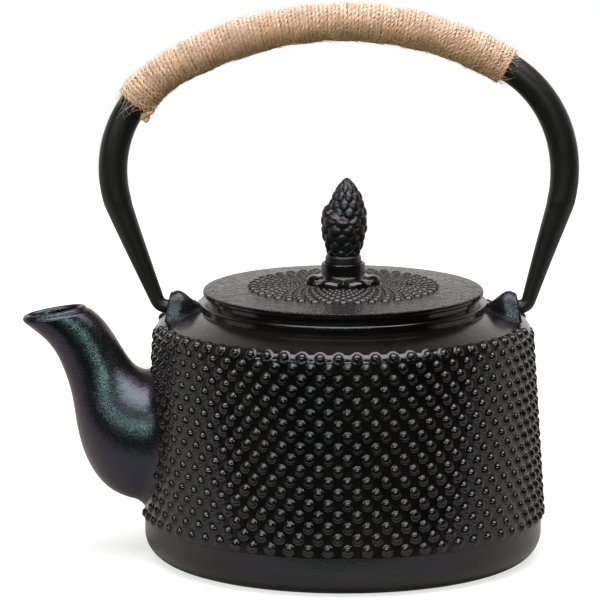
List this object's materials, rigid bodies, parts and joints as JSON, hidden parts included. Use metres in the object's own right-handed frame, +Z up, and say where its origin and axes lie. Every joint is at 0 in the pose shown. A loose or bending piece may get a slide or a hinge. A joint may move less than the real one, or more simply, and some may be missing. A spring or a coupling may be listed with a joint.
{
  "type": "cast-iron teapot",
  "caption": "Black cast-iron teapot with a hobnail wall, short curved spout, twine-bound swinging bail handle, lift-off lid with pine-cone knob and lift-out infuser.",
  "frame": {"origin": "on the pot's axis, at the middle of its flat base", "axes": "+Z up, the spout points along -X, and the bail turns on an axis along X through the two ears"},
  "size_m": [0.2165, 0.156, 0.2149],
  "materials": {
    "black_iron": "satin black lacquer over a fine cast grain",
    "handle_iron": "satin black",
    "twine": "natural jute",
    "steel": "satin stainless"
  },
  "bodies": {
    "pot": {"pot_base": "black_iron", "pot_wall": "black_iron", "pot_shoulder": "black_iron", "hobnails": "black_iron", "spout": "black_iron", "left_ear": "black_iron", "right_ear": "black_iron"},
    "handle": {"handle_bar": "handle_iron", "grip_binding": "twine", "left_binding_turns": "twine", "right_binding_turns": "twine"},
    "lid": {"lid": "black_iron", "lid_dots": "black_iron", "flower_seat": "black_iron", "pinecone_knob": "black_iron", "knob_screw": "steel", "knob_washer": "steel"},
    "infuser": {"infuser_rim": "steel", "infuser_mesh": "steel", "infuser_base": "steel"}
  },
  "joints": [
    {"name": "handle_swing", "type": "hinge", "parent": "pot", "child": "handle", "pos_m": [0, 0, 0.0972], "axis": [1, 0, 0], "range_deg": [-115, 115]},
    {"name": "lid_lift", "type": "slide", "parent": "pot", "child": "lid", "axis": [0, 0, 1], "range_m": [0, 0.045]},
    {"name": "infuser_lift", "type": "slide", "parent": "pot", "child": "infuser", "axis": [0, 0, 1], "range_m": [0, 0.03]}
  ],
  "couplings": [
    {"joint": "infuser_lift", "follows": "lid_lift", "ratio": 0.6}
  ]
}
